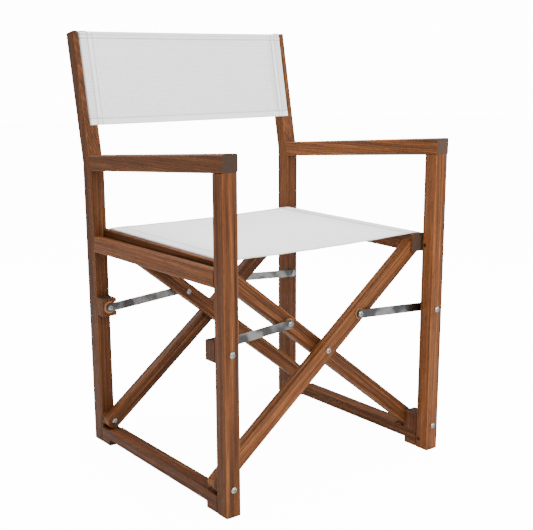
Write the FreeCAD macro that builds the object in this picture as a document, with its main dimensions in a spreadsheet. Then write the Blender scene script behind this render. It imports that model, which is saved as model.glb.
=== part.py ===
"""Folding director chair: two wooden side frames, two crossed pairs of bars, a seat sling and a back sling.

Frame: +Z up, X across the chair, the front faces -Y.  The origin is on the floor, under the middle of
the chair's outer box.  All sizes are millimetres.  The sheet "Sizes" holds the driving dimensions and
the sheet "Layout" works out the places that follow from them.
"""
import FreeCAD, Part
import os
import Sketcher
from FreeCAD import Vector

doc = FreeCAD.newDocument("DirectorChair")

# ---------------------------------------------------------------------------------------------
# Driving dimensions
# ---------------------------------------------------------------------------------------------
SIZES = [
    ("overall_width", 550, "over the outer faces of the two side frames"),
    ("foot_depth", 500, "front face of the front legs to rear face of the rear posts, at the floor"),
    ("post_height", 870, "floor to the front top corner of a rear post"),
    ("leg_width", 32, "every side-frame upright and armrest, across the chair"),
    ("leg_depth", 32, "front leg, front to back"),
    ("post_depth", 35, "lower part of a rear post, front to back"),
    ("rake_thickness", 31.5, "leaning part of a rear post, square to its face"),
    ("rake_angle", 10.6, "lean of the back, degrees from vertical"),
    ("bend_height", 588, "where the front face of a rear post starts to lean"),
    ("arm_front_top", 653, "top of an armrest at its front end"),
    ("arm_slope", 3.9, "fall of an armrest to the rear, degrees"),
    ("arm_thickness", 32, "armrest, top to underside, measured upright"),
    ("side_rail_top", 453.5, "top of the rail under the seat in a side frame"),
    ("side_rail_height", 33, "that rail, top to underside"),
    ("side_rail_width", 18, "that rail, across the chair"),
    ("runner_top", 36.2, "top of the bottom rail of a side frame"),
    ("runner_relief", 12.5, "height of its underside above the floor, between the feet"),
    ("foot_length", 32, "length of the foot at each end of the bottom rail"),
    ("scoop_radius", 2, "round corner of the recess that clears a bar's lower end"),
    ("scoop_gap", 1.3, "from a bolt head behind a bar to the end of that recess"),
    ("tenon_length", 20, "each rail tenon"),
    ("tenon_height", 20, "each rail tenon"),
    ("tenon_width", 9, "each rail tenon"),
    ("tenon_clearance", 0.1, "gap all round a tenon in its mortise"),
    ("peg_diameter", 8, "wooden peg that pins a tenon"),
    ("peg_length", 24, "that peg, in from the inner face of the upright"),
    ("peg_setback", 8, "from the shoulder of a tenon to the middle of its peg"),
    ("runner_tenon_height", 20, "middle of the bottom rail's tenons above the floor"),
    ("edge_round", 3.5, "rounded long edges of the wood"),
    ("small_round", 1.2, "rounded edges of the small wooden pieces"),
    ("seat_rail_width", 32, "rail that holds the seat sling, across the chair"),
    ("seat_rail_height", 37, "that rail, top to underside"),
    ("seat_front_top", 461.5, "top of that rail at its front end"),
    ("seat_slope", 0.9, "rise of the seat rails to the rear, degrees"),
    ("seat_rail_gap", 6, "between the seat rail and the side-frame rail"),
    ("seat_rail_end_gap", 3, "between an end of the seat rail and the upright"),
    ("sling_groove_width", 4, "groove that takes the edge of a sling"),
    ("sling_groove_depth", 9, "depth of that groove"),
    ("seat_groove_inset", 10, "from the outer face of the seat rail to the middle of its groove"),
    ("back_groove_inset", 14, "from the outer face of the post to the middle of its groove"),
    ("bar_width", 32, "cross bar, seen from the front"),
    ("bar_thickness", 21, "cross bar, front to back"),
    ("leg_gap", 8, "between an upright and the first cross bar"),
    ("bar_gap", 6, "between the two cross bars of a pair"),
    ("pivot_height", 52.5, "lower pivots of the cross bars"),
    ("cross_height", 256, "bolt where the cross bars of a pair meet"),
    ("link_height", 305, "pivot of each steel link on its upright"),
    ("link_reach", 100, "from the crossing bolt to a link's bolt, along the bar"),
    ("link_width", 17, "steel link"),
    ("link_thickness", 3, "steel link"),
    ("block_height", 38, "wooden blocks on the uprights"),
    ("lip_gap", 20, "mouth of the recess in a link block"),
    ("lip_depth", 9, "depth of the recess in a link block"),
    ("bush_diameter", 26, "round wooden bush under a link's end"),
    ("disc_diameter", 22, "round wooden disc between a link and its bar"),
    ("bolt_diameter", 6, "shank of every bolt"),
    ("bolt_clearance", 0.08, "radial gap round a bolt in its hole"),
    ("head_diameter", 12, "round bolt head"),
    ("head_height", 3.2, "round bolt head"),
    ("socket_size", 4, "hexagon socket, across flats"),
    ("socket_depth", 2, "hexagon socket"),
    ("running_gap", 0.3, "between flat faces that slide past each other"),
    ("sling_thickness", 1.5, "both slings"),
    ("sling_lift", 0.4, "between a sling and the wood under it"),
    ("seat_sling_margin", 5, "from each end of the seat rail to the sling"),
    ("back_sling_height", 191, "back sling, along the posts"),
    ("back_sling_top_gap", 1.5, "from the top of the posts to the sling"),
]

LAYOUT = [
    ("half_width", "Sizes.overall_width / 2"),
    ("pivot_x", "Sizes.overall_width / 2 - Sizes.leg_width / 2"),
    ("rake_rise", "Sizes.post_height - Sizes.bend_height"),
    ("rake_run", "rake_rise * tan(Sizes.rake_angle)"),
    ("overall_depth", "Sizes.foot_depth - Sizes.post_depth + rake_run"
                      " + Sizes.rake_thickness * cos(Sizes.rake_angle)"),
    ("front_y", "-overall_depth / 2 + Sizes.head_height / 2"),
    ("leg_back_y", "front_y + Sizes.leg_depth"),
    ("post_front_y", "front_y + Sizes.foot_depth - Sizes.post_depth"),
    ("bay", "post_front_y - leg_back_y"),
    ("mid_y", "(post_front_y + leg_back_y) / 2"),
    ("far_bar", "Sizes.leg_gap + Sizes.bar_thickness + Sizes.bar_gap"),
    ("near_bar_back", "Sizes.leg_gap + Sizes.bar_thickness"),
    ("far_bar_back", "far_bar + Sizes.bar_thickness"),
    ("disc_length", "Sizes.bar_gap - 2"),
    ("left_link_back", "far_bar - disc_length"),
    ("left_link_front", "left_link_back - Sizes.link_thickness"),
    ("right_link_front", "(Sizes.leg_gap - Sizes.link_thickness) / 2"),
    ("right_link_back", "right_link_front + Sizes.link_thickness"),
    ("bush_length", "left_link_front - Sizes.running_gap"),
    ("link_block_depth", "bush_length - Sizes.running_gap"),
    ("pivot_block_depth", "far_bar - Sizes.running_gap"),
    ("half_bar_run", "pivot_x"),
    ("half_bar_rise", "Sizes.cross_height - Sizes.pivot_height"),
    ("half_bar", "sqrt(half_bar_run * half_bar_run + half_bar_rise * half_bar_rise)"),
    ("bar_dx", "half_bar_run / half_bar"),
    ("bar_dz", "half_bar_rise / half_bar"),
    ("link_far_x", "Sizes.link_reach * bar_dx"),
    ("link_far_z", "Sizes.cross_height + Sizes.link_reach * bar_dz"),
    ("link_run", "pivot_x - link_far_x"),
    ("link_rise", "link_far_z - Sizes.link_height"),
    ("link_length", "sqrt(link_run * link_run + link_rise * link_rise)"),
    ("seat_outer_x", "half_width - Sizes.side_rail_width - Sizes.seat_rail_gap"),
    ("seat_inner_x", "seat_outer_x - Sizes.seat_rail_width"),
    ("seat_rail_length", "bay - 2 * Sizes.seat_rail_end_gap"),
    ("seat_mid_top", "Sizes.seat_front_top + seat_rail_length / 2 * tan(Sizes.seat_slope)"),
    ("arm_fall", "tan(Sizes.arm_slope)"),
    ("arm_front_under", "Sizes.arm_front_top - Sizes.arm_thickness"),
    ("hole_radius", "Sizes.bolt_diameter / 2 + Sizes.bolt_clearance"),
]


def fill_sheet(name, rows):
    """Write one row per value: its alias, the value or formula, and what it is."""
    sheet = doc.addObject("Spreadsheet::Sheet", name)
    for number, row in enumerate(rows, start=1):
        value = row[1] if isinstance(row[1], str) else str(row[1])
        sheet.set(f"A{number}", row[0])
        sheet.set(f"B{number}", f"={value}" if isinstance(row[1], str) else value)
        sheet.setAlias(f"B{number}", row[0])
        if len(row) > 2:
            sheet.set(f"C{number}", row[2])
    doc.recompute()
    return sheet


sizes = fill_sheet("Sizes", SIZES)
layout = fill_sheet("Layout", LAYOUT)
SIZE_NAMES = [row[0] for row in SIZES]
LAYOUT_NAMES = [row[0] for row in LAYOUT]


def full(expression):
    """Turn plain value names into sheet references, such as leg_width into Sizes.leg_width."""
    word = ""
    out = ""
    for char in str(expression) + " ":
        if char.isalnum() or char == "_":
            word += char
            continue
        if word in SIZE_NAMES:
            word = "Sizes." + word
        elif word in LAYOUT_NAMES:
            word = "Layout." + word
        out += word + char
        word = ""
    return out.strip()


def number_of(expression):
    """Current value of an expression, for first positions and for choosing edges."""
    result = sizes.evalExpression(full(expression))
    return float(getattr(result, "Value", result))


def bind(thing, path, expression):
    thing.setExpression(path, full(expression))


def place(thing, x=0, y=0, z=0):
    """Bind the position of a sub-part to the sheet."""
    for axis, expression in (("x", x), ("y", y), ("z", z)):
        bind(thing, f"Placement.Base.{axis}", expression)


def turn(thing, axis, angle):
    thing.Placement = FreeCAD.Placement(thing.Placement.Base, FreeCAD.Rotation(axis, 1))
    bind(thing, "Placement.Rotation.Angle", angle)


# ---------------------------------------------------------------------------------------------
# PartDesign helpers
# ---------------------------------------------------------------------------------------------
def new_body(label):
    body = doc.addObject("PartDesign::Body", label)
    body.Label = label
    return body


def new_sketch(body, plane, offset="0"):
    """An empty sketch on one of the body's own origin planes, moved along the plane's normal."""
    name = f"{body.Name}_sketch{len(body.Group)}"
    sketch = body.newObject("Sketcher::SketchObject", name)
    origin_plane = [item for item in body.Origin.OriginFeatures if item.Role == plane][0]
    sketch.AttachmentSupport = [(origin_plane, "")]
    sketch.MapMode = "FlatFace"
    bind(sketch, "AttachmentOffset.Base.z", offset)
    return sketch


def pin_point(sketch, geometry, end, across, up):
    """Tie a sketch point to its two bound distances from the sketch origin."""
    for kind, expression in (("DistanceX", across), ("DistanceY", up)):
        constraint = Sketcher.Constraint(kind, -1, 1, geometry, end, number_of(expression))
        index = sketch.addConstraint(constraint)
        bind(sketch, f"Constraints[{index}]", expression)


def add_outline(sketch, points):
    """A closed outline of straight lines through (across, up) expression pairs."""
    corners = [Vector(number_of(across), number_of(up), 0) for across, up in points]
    first = sketch.GeometryCount
    for start, finish in zip(corners, corners[1:] + corners[:1]):
        sketch.addGeometry(Part.LineSegment(start, finish), False)
    for step in range(len(points)):
        follower = first + (step + 1) % len(points)
        sketch.addConstraint(Sketcher.Constraint("Coincident", first + step, 2, follower, 1))
        pin_point(sketch, first + step, 1, *points[step])


def add_circle(sketch, across, up, radius):
    centre = Vector(number_of(across), number_of(up), 0)
    circle = Part.Circle(centre, Vector(0, 0, 1), number_of(radius))
    index = sketch.addGeometry(circle, False)
    pin_point(sketch, index, 3, across, up)
    constraint = sketch.addConstraint(Sketcher.Constraint("Radius", index, number_of(radius)))
    bind(sketch, f"Constraints[{constraint}]", radius)


def pad(body, sketch, length, both_ways=False):
    feature = body.newObject("PartDesign::Pad", f"{body.Name}_pad{len(body.Group)}")
    feature.Profile = sketch
    bind(feature, "Length", length)
    feature.Midplane = both_ways
    return feature


def pocket(body, sketch, length=None, reverse=False):
    """Cut a sketch out of the body: a stated depth, or right through both ways."""
    feature = body.newObject("PartDesign::Pocket", f"{body.Name}_pocket{len(body.Group)}")
    feature.Profile = sketch
    if length is None:
        feature.Type = "ThroughAll"
        feature.Midplane = True
    else:
        bind(feature, "Length", length)
        feature.Reversed = reverse
    doc.recompute()
    return feature


def long_edges(shape, direction, least):
    """Names of the straight edges along one direction that are at least so long."""
    names = []
    for number, edge in enumerate(shape.Edges, start=1):
        if edge.Curve.TypeId != "Part::GeomLine" or edge.Length < least:
            continue
        if abs(edge.tangentAt(edge.FirstParameter).dot(direction)) > 0.99:
            names.append(f"Edge{number}")
    return names


def round_edges(body, feature, names, radius):
    fillet = body.newObject("PartDesign::Fillet", f"{body.Name}_round{len(body.Group)}")
    fillet.Base = (feature, names)
    bind(fillet, "Radius", radius)
    doc.recompute()
    return fillet


def bolt_hole(body, x, z, radius="hole_radius"):
    """A hole right through along Y."""
    sketch = new_sketch(body, "XZ_Plane")
    add_circle(sketch, x, z, radius)
    return pocket(body, sketch)


def mirrored(expression, side):
    return expression if side > 0 else f"-({expression})"


# ---------------------------------------------------------------------------------------------
# Side frames.  side is -1 for the left frame and +1 for the right one.
# ---------------------------------------------------------------------------------------------
SIDE_NAMES = {-1: "left", 1: "right"}
SIDE_RAIL_SHIFT = "(leg_width - side_rail_width) / 2"
SIDE_RAIL_MIDDLE = "side_rail_top - side_rail_height / 2"
SCOOP_FLOOR = "pivot_height - block_height / 2"
MORTISES = ((SIDE_RAIL_SHIFT, SIDE_RAIL_MIDDLE), ("0", "runner_tenon_height"))


def cut_mortises(body, side, into_front):
    """Mortises for the two rail tenons, with the peg holes that cross them."""
    sign = -1 if into_front else 1
    for shift, height in MORTISES:
        sketch = new_sketch(body, "XZ_Plane")
        half_x = "(tenon_width / 2 + tenon_clearance)"
        half_z = "(tenon_height / 2 + tenon_clearance)"
        middle = mirrored(shift, side)
        add_outline(sketch, [
            (f"{middle} - {half_x}", f"{height} - {half_z}"),
            (f"{middle} + {half_x}", f"{height} - {half_z}"),
            (f"{middle} + {half_x}", f"{height} + {half_z}"),
            (f"{middle} - {half_x}", f"{height} + {half_z}"),
        ])
        pocket(body, sketch, "tenon_length + tenon_clearance", reverse=into_front)
    for shift, height in MORTISES:
        sketch = new_sketch(body, "YZ_Plane", mirrored("-leg_width / 2", side))
        add_circle(sketch, f"{sign} * peg_setback", height, "peg_diameter / 2")
        pocket(body, sketch, "peg_length", reverse=side > 0)


def front_leg(side):
    body = new_body(f"front_leg_{SIDE_NAMES[side]}")
    sketch = new_sketch(body, "YZ_Plane")
    add_outline(sketch, [
        ("-leg_depth", "0"),
        ("0", "0"),
        ("0", "arm_front_under - leg_depth * arm_fall"),
        ("-leg_depth", "arm_front_under"),
    ])
    leg = pad(body, sketch, "leg_width", both_ways=True)
    doc.recompute()
    upright = long_edges(leg.Shape, Vector(0, 0, 1), number_of("arm_front_under / 2"))
    round_edges(body, leg, upright, "edge_round")
    bolt_hole(body, "0", "pivot_height")
    bolt_hole(body, "0", "link_height")
    cut_mortises(body, side, into_front=True)
    place(body, mirrored("pivot_x", side), "leg_back_y")
    return body


def rear_post(side):
    """Upright lower part and a leaning upper part, with a groove for the back sling's edge."""
    body = new_body(f"rear_post_{SIDE_NAMES[side]}")
    lean = "rake_angle"
    rear_top_y = f"(rake_run + rake_thickness * cos({lean}))"
    rear_top_z = f"(post_height - rake_thickness * sin({lean}))"
    sketch = new_sketch(body, "YZ_Plane")
    add_outline(sketch, [
        ("0", "0"),
        ("post_depth", "0"),
        ("post_depth", f"{rear_top_z} - ({rear_top_y} - post_depth) / tan({lean})"),
        (rear_top_y, rear_top_z),
        ("rake_run", "post_height"),
        ("0", "bend_height"),
    ])
    post = pad(body, sketch, "leg_width", both_ways=True)
    doc.recompute()
    shape = post.Shape
    lean_now = number_of(lean)
    leaning = FreeCAD.Rotation(Vector(1, 0, 0), -lean_now).multVec(Vector(0, 0, 1))
    least = number_of("rake_rise / 2")
    edges = long_edges(shape, Vector(0, 0, 1), least)
    edges += [name for name in long_edges(shape, leaning, least) if name not in edges]
    round_edges(body, post, edges, "edge_round")

    along = "(back_sling_top_gap + back_sling_height + running_gap)"
    deep = "sling_groove_depth"
    groove = new_sketch(body, "YZ_Plane", mirrored("leg_width / 2 - back_groove_inset", side))
    foot_y = f"rake_run - {along} * sin({lean})"
    foot_z = f"post_height - {along} * cos({lean})"
    add_outline(groove, [
        (f"{foot_y} - {deep} * cos({lean})", f"{foot_z} + {deep} * sin({lean})"),
        (f"{foot_y} + {deep} * cos({lean})", f"{foot_z} - {deep} * sin({lean})"),
        (f"rake_run + {deep} * (cos({lean}) + sin({lean}))",
         f"post_height + {deep} * (cos({lean}) - sin({lean}))"),
        (f"rake_run - {deep} * (cos({lean}) - sin({lean}))",
         f"post_height + {deep} * (cos({lean}) + sin({lean}))"),
    ])
    cut = pocket(body, groove, "sling_groove_width")
    cut.Midplane = True
    bolt_hole(body, "0", "pivot_height")
    bolt_hole(body, "0", "link_height")
    cut_mortises(body, side, into_front=False)
    place(body, mirrored("pivot_x", side), "post_front_y")
    return body


def armrest(side):
    """A straight board that falls to the rear and ends on the front face of the rear post."""
    body = new_body(f"armrest_{SIDE_NAMES[side]}")
    reach = "(post_front_y - front_y)"
    lean = "tan(rake_angle)"
    rear = "max({reach}; ({reach} + ({top} - bend_height) * {lean}) / (1 + arm_fall * {lean}))"
    under_y = rear.format(reach=reach, top="arm_front_under", lean=lean)
    top_y = rear.format(reach=reach, top="arm_front_top", lean=lean)
    sketch = new_sketch(body, "YZ_Plane")
    add_outline(sketch, [
        ("0", "arm_front_under"),
        (under_y, f"arm_front_under - arm_fall * {under_y}"),
        (top_y, f"arm_front_top - arm_fall * {top_y}"),
        ("0", "arm_front_top"),
    ])
    board = pad(body, sketch, "leg_width", both_ways=True)
    doc.recompute()
    falling = FreeCAD.Rotation(Vector(1, 0, 0), -number_of("arm_slope")).multVec(Vector(0, 1, 0))
    edges = long_edges(board.Shape, falling, number_of("foot_depth / 2"))
    round_edges(body, board, edges, "edge_round")
    place(body, mirrored("pivot_x", side), "front_y")
    return body


def add_tenons(body, height):
    """One bar through the rail whose two ends are its tenons, crossed by the peg holes."""
    reach = "(bay / 2 + tenon_length)"
    sketch = new_sketch(body, "YZ_Plane")
    add_outline(sketch, [
        (f"-{reach}", f"{height} - tenon_height / 2"),
        (reach, f"{height} - tenon_height / 2"),
        (reach, f"{height} + tenon_height / 2"),
        (f"-{reach}", f"{height} + tenon_height / 2"),
    ])
    pad(body, sketch, "tenon_width", both_ways=True)
    doc.recompute()
    sketch = new_sketch(body, "YZ_Plane")
    for sign in ("-", ""):
        add_circle(sketch, f"{sign}(bay / 2 + peg_setback)", height, "peg_diameter / 2")
    pocket(body, sketch)


def side_rail(side):
    body = new_body(f"side_rail_{SIDE_NAMES[side]}")
    sketch = new_sketch(body, "YZ_Plane")
    add_outline(sketch, [
        ("-bay / 2", "side_rail_top - side_rail_height"),
        ("bay / 2", "side_rail_top - side_rail_height"),
        ("bay / 2", "side_rail_top"),
        ("-bay / 2", "side_rail_top"),
    ])
    rail = pad(body, sketch, "side_rail_width", both_ways=True)
    doc.recompute()
    round_edges(body, rail, long_edges(rail.Shape, Vector(0, 1, 0), number_of("bay / 2")), "edge_round")
    add_tenons(body, SIDE_RAIL_MIDDLE)
    place(body, mirrored("half_width - side_rail_width / 2", side), "mid_y")
    return body


def runner(side):
    """Bottom rail: a foot under each end, and a recess over each end for the bars or their blocks."""
    body = new_body(f"runner_{SIDE_NAMES[side]}")
    last_bar = "far_bar_back" if side > 0 else "near_bar_back"
    scoop = f"({last_bar} + head_height + scoop_gap)"
    half = "bay / 2"
    sketch = new_sketch(body, "YZ_Plane")
    front_half = [
        (f"-({half})", "0"),
        (f"-({half} - foot_length)", "0"),
        (f"-({half} - foot_length)", "runner_relief"),
    ]
    under = front_half + [(across[1:], up) for across, up in reversed(front_half)]
    over = [
        (half, SCOOP_FLOOR),
        (f"{half} - {scoop}", SCOOP_FLOOR),
        (f"{half} - {scoop}", "runner_top"),
        (f"-({half} - {scoop})", "runner_top"),
        (f"-({half} - {scoop})", SCOOP_FLOOR),
        (f"-({half})", SCOOP_FLOOR),
    ]
    add_outline(sketch, under + over)
    rail = pad(body, sketch, "leg_width", both_ways=True)
    doc.recompute()
    inside = number_of(f"{half} - {scoop}")
    floor = number_of(SCOOP_FLOOR)
    corners = []
    for number, edge in enumerate(rail.Shape.Edges, start=1):
        middle = edge.CenterOfMass
        if abs(abs(middle.y) - inside) < 0.01 and abs(middle.z - floor) < 0.01:
            corners.append(f"Edge{number}")
    rounded = round_edges(body, rail, corners, "scoop_radius")
    edges = long_edges(rounded.Shape, Vector(0, 1, 0), number_of("foot_length / 2"))
    round_edges(body, rounded, edges, "small_round")
    add_tenons(body, "runner_tenon_height")
    place(body, mirrored("pivot_x", side), "mid_y")
    return body


def block(label, side, at_rear, height, depth, recessed):
    """A wooden block on an upright, which carries a pivot clear of the bar in front of it."""
    body = new_body(label)
    sketch = new_sketch(body, "XZ_Plane")
    add_outline(sketch, [
        ("-leg_width / 2", "-block_height / 2"),
        ("leg_width / 2", "-block_height / 2"),
        ("leg_width / 2", "block_height / 2"),
        ("-leg_width / 2", "block_height / 2"),
    ])
    solid = pad(body, sketch, depth)
    solid.Reversed = not at_rear
    doc.recompute()
    edges = long_edges(solid.Shape, Vector(0, 1, 0), number_of(f"{depth} / 2"))
    round_edges(body, solid, edges, "small_round")
    bolt_hole(body, "0", "0")
    if recessed:
        face = depth if at_rear else f"-({depth})"
        well = new_sketch(body, "XZ_Plane", face)
        add_circle(well, "0", "0", "bush_diameter / 2 + running_gap")
        pocket(body, well, "lip_depth", reverse=not at_rear)
        mouth = new_sketch(body, "XZ_Plane", face)
        outer = mirrored("-(leg_width / 2 + edge_round)", side)
        add_outline(mouth, [
            ("0", "-lip_gap / 2"),
            (outer, "-lip_gap / 2"),
            (outer, "lip_gap / 2"),
            ("0", "lip_gap / 2"),
        ])
        pocket(body, mouth, "lip_depth", reverse=not at_rear)
    place(body, mirrored("pivot_x", side), "post_front_y" if at_rear else "leg_back_y", height)
    return body


# ---------------------------------------------------------------------------------------------
# Seat rails, cross bars and links
# ---------------------------------------------------------------------------------------------
def seat_rail(side):
    """Rail that holds one edge of the seat sling in a groove, and rises a little to the rear."""
    body = new_body(f"seat_rail_{SIDE_NAMES[side]}")
    sketch = new_sketch(body, "XZ_Plane")
    add_outline(sketch, [
        ("-seat_rail_width / 2", "-seat_rail_height"),
        ("seat_rail_width / 2", "-seat_rail_height"),
        ("seat_rail_width / 2", "0"),
        ("-seat_rail_width / 2", "0"),
    ])
    rail = pad(body, sketch, "seat_rail_length", both_ways=True)
    doc.recompute()
    edges = long_edges(rail.Shape, Vector(0, 1, 0), number_of("bay / 2"))
    round_edges(body, rail, edges, "edge_round")
    groove = new_sketch(body, "XZ_Plane")
    middle = mirrored("seat_rail_width / 2 - seat_groove_inset", side)
    add_outline(groove, [
        (f"{middle} - sling_groove_width / 2", "-sling_groove_depth"),
        (f"{middle} + sling_groove_width / 2", "-sling_groove_depth"),
        (f"{middle} + sling_groove_width / 2", "edge_round"),
        (f"{middle} - sling_groove_width / 2", "edge_round"),
    ])
    pocket(body, groove)
    turn(body, Vector(1, 0, 0), "seat_slope")
    place(body, mirrored("seat_inner_x + seat_rail_width / 2", side), "mid_y", "seat_mid_top")
    return body


def cross_bar(label, side, front, back):
    """Bar from a lower pivot up to the seat rail on one side; front and back are its faces in Y.

    side is that of the seat rail that it carries.  The top is notched under and against the rail.
    """
    body = new_body(label)
    half = "bar_width / 2"
    pivot = (mirrored("-pivot_x", side), "pivot_height")
    slope = "tan(seat_slope)"
    rail_base = f"(seat_mid_top + (({front}) - mid_y) * {slope} - seat_rail_height / cos(seat_slope))"
    upper_z = f"(pivot_height + {half} * bar_dx)"
    lower_z = f"(pivot_height - {half} * bar_dx)"
    end_z = f"({upper_z} + (seat_inner_x + pivot_x + {half} * bar_dz) * bar_dz / bar_dx)"
    lower_x = f"(-pivot_x + {half} * bar_dz + ({rail_base} - {lower_z}) * bar_dx / bar_dz)"
    sketch = new_sketch(body, "XZ_Plane")
    add_outline(sketch, [
        (mirrored(f"-pivot_x + {half} * bar_dz", side), lower_z),
        (mirrored(lower_x, side), rail_base),
        (mirrored("seat_inner_x", side), rail_base),
        (mirrored("seat_inner_x", side), end_z),
        (mirrored(f"-pivot_x - {half} * bar_dz", side), upper_z),
    ])
    pad(body, sketch, "bar_thickness")
    round_end = new_sketch(body, "XZ_Plane")
    add_circle(round_end, *pivot, half)
    whole = pad(body, round_end, "bar_thickness")
    doc.recompute()
    faces_y = (0, -number_of("bar_thickness"))
    edges = []
    for number, edge in enumerate(whole.Shape.Edges, start=1):
        ends = [vertex.Point.y for vertex in edge.Vertexes]
        if any(max(abs(y - face) for y in ends) < 0.01 for face in faces_y):
            edges.append(f"Edge{number}")
    round_edges(body, whole, edges, "small_round")
    bolt_hole(body, *pivot)
    bolt_hole(body, "0", "cross_height")
    bolt_hole(body, mirrored("link_far_x", side), "link_far_z")
    place(body, 0, back)
    return body


def link(label, side, back):
    """Flat steel link with round ends, from an upright to the cross bar that passes it."""
    body = new_body(label)
    far_x = mirrored("-link_length", side)
    sketch = new_sketch(body, "XZ_Plane")
    add_outline(sketch, [
        ("0", "-link_width / 2"),
        (far_x, "-link_width / 2"),
        (far_x, "link_width / 2"),
        ("0", "link_width / 2"),
    ])
    pad(body, sketch, "link_thickness")
    for x in ("0", far_x):
        ends = new_sketch(body, "XZ_Plane")
        add_circle(ends, x, "0", "link_width / 2")
        pad(body, ends, "link_thickness")
    doc.recompute()
    bolt_hole(body, "0", "0")
    bolt_hole(body, far_x, "0")
    turn(body, Vector(0, side, 0), "atan(link_rise / link_run)")
    place(body, mirrored("pivot_x", side), back, "link_height")
    return body


# ---------------------------------------------------------------------------------------------
# Bolts, rings and pegs, made from primitives along +Y
# ---------------------------------------------------------------------------------------------
ALONG_Y = FreeCAD.Rotation(Vector(1, 0, 0), -90)
AGAINST_Y = FreeCAD.Rotation(Vector(1, 0, 0), 90)


def primitive(kind, name, rotation, position, **measures):
    thing = doc.addObject(f"Part::{kind}", name)
    thing.Placement = FreeCAD.Placement(Vector(), rotation)
    for measure, expression in measures.items():
        bind(thing, measure, expression)
    place(thing, *position)
    return thing


def bolt_head(name, x, y, z, sign):
    """Button head with a hexagon socket; sign is the way its top faces along Y."""
    rotation = ALONG_Y if sign > 0 else AGAINST_Y
    rim = primitive("Cylinder", f"{name}_rim", rotation, (x, y, z),
                    Radius="head_diameter / 2", Height="head_height / 3")
    dome_y = f"({y}) + {sign} * head_height / 3"
    dome = primitive("Cone", f"{name}_dome", rotation, (x, dome_y, z),
                     Radius1="head_diameter / 2", Radius2="head_diameter * 0.3",
                     Height="head_height * 2 / 3")
    socket_y = f"({y}) + {sign} * (head_height - socket_depth)"
    socket = primitive("Prism", f"{name}_socket", rotation, (x, socket_y, z),
                       Circumradius="socket_size / sqrt(3)", Height="2 * socket_depth")
    solid = doc.addObject("Part::MultiFuse", f"{name}_solid")
    solid.Shapes = [rim, dome]
    cut = doc.addObject("Part::Cut", f"{name}_cut")
    cut.Base = solid
    cut.Tool = socket
    return cut


def bolt(name, x, y, z, length, heads):
    """Shank from y towards +Y with a round head on its front end, its rear end or both."""
    shank = primitive("Cylinder", f"{name}_shank", ALONG_Y, (x, y, z),
                      Radius="bolt_diameter / 2", Height=length)
    pieces = [shank]
    if "front" in heads:
        pieces.append(bolt_head(f"{name}_front", x, y, z, -1))
    if "rear" in heads:
        pieces.append(bolt_head(f"{name}_rear", x, f"({y}) + ({length})", z, 1))
    whole = doc.addObject("Part::MultiFuse", name)
    whole.Shapes = pieces
    return whole


def ring(name, x, y, z, diameter, length):
    """Round spacer from y towards +Y with a bolt hole."""
    outer = primitive("Cylinder", f"{name}_outer", ALONG_Y, (x, y, z),
                      Radius=f"{diameter} / 2", Height=length)
    hole = primitive("Cylinder", f"{name}_hole", ALONG_Y, (x, y, z),
                     Radius="hole_radius", Height=length)
    cut = doc.addObject("Part::Cut", name)
    cut.Base = outer
    cut.Tool = hole
    return cut


def group(label, members):
    """Identical loose pieces in one sub-part."""
    compound = doc.addObject("Part::Compound", label)
    compound.Label = label
    compound.Links = members
    return compound


def tenon_pegs(side):
    rotation = FreeCAD.Rotation(Vector(0, 1, 0), 90 * side)
    members = []
    for end, y in (("front", "leg_back_y - peg_setback"), ("rear", "post_front_y + peg_setback")):
        for level, (shift, height) in enumerate(MORTISES):
            inner_x = mirrored("half_width - leg_width", side)
            name = f"peg_{SIDE_NAMES[side]}_{end}_{level}"
            members.append(primitive("Cylinder", name, rotation, (inner_x, y, height),
                                     Radius="peg_diameter / 2", Height="peg_length"))
    return group(f"tenon_pegs_{SIDE_NAMES[side]}", members)


# ---------------------------------------------------------------------------------------------
# Slings, as plain closed solids
# ---------------------------------------------------------------------------------------------
def seat_sling():
    half = "(seat_outer_x - seat_groove_inset)"
    long = "(seat_rail_length - 2 * seat_sling_margin)"
    sling = doc.addObject("Part::Box", "seat_sling")
    bind(sling, "Length", f"2 * {half}")
    bind(sling, "Width", long)
    bind(sling, "Height", "sling_thickness")
    turn(sling, Vector(1, 0, 0), "seat_slope")
    rise = f"{long} / 2 * sin(seat_slope)"
    run = f"{long} / 2 * cos(seat_slope)"
    place(sling, f"-{half}", f"mid_y - {run}", f"seat_mid_top + sling_lift - {rise}")
    return sling


def back_sling():
    half = "(half_width - back_groove_inset)"
    sling = doc.addObject("Part::Box", "back_sling")
    bind(sling, "Length", f"2 * {half}")
    bind(sling, "Width", "sling_thickness")
    bind(sling, "Height", "back_sling_height")
    turn(sling, Vector(-1, 0, 0), "rake_angle")
    down = "(back_sling_top_gap + back_sling_height)"
    out = "(sling_lift + sling_thickness)"
    y = f"post_front_y + rake_run - {down} * sin(rake_angle) - {out} * cos(rake_angle)"
    z = f"post_height - {down} * cos(rake_angle) + {out} * sin(rake_angle)"
    place(sling, f"-{half}", y, z)
    return sling


# ---------------------------------------------------------------------------------------------
# The chair
# ---------------------------------------------------------------------------------------------
FRONT_NEAR = ("leg_back_y + leg_gap", "leg_back_y + near_bar_back")
FRONT_FAR = ("leg_back_y + far_bar", "leg_back_y + far_bar_back")
REAR_NEAR = ("post_front_y - near_bar_back", "post_front_y - leg_gap")
REAR_FAR = ("post_front_y - far_bar_back", "post_front_y - far_bar")


def side_frames():
    parts = []
    for side in (-1, 1):
        parts += [front_leg(side), rear_post(side), armrest(side), side_rail(side), runner(side)]
        parts += [tenon_pegs(side)]
    for end, at_rear in (("front", False), ("rear", True)):
        parts.append(block(f"link_block_{end}_left", -1, at_rear, "link_height",
                           "link_block_depth", recessed=True))
        parts.append(block(f"pivot_block_{end}_right", 1, at_rear, "pivot_height",
                           "pivot_block_depth", recessed=False))
    return parts


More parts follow.
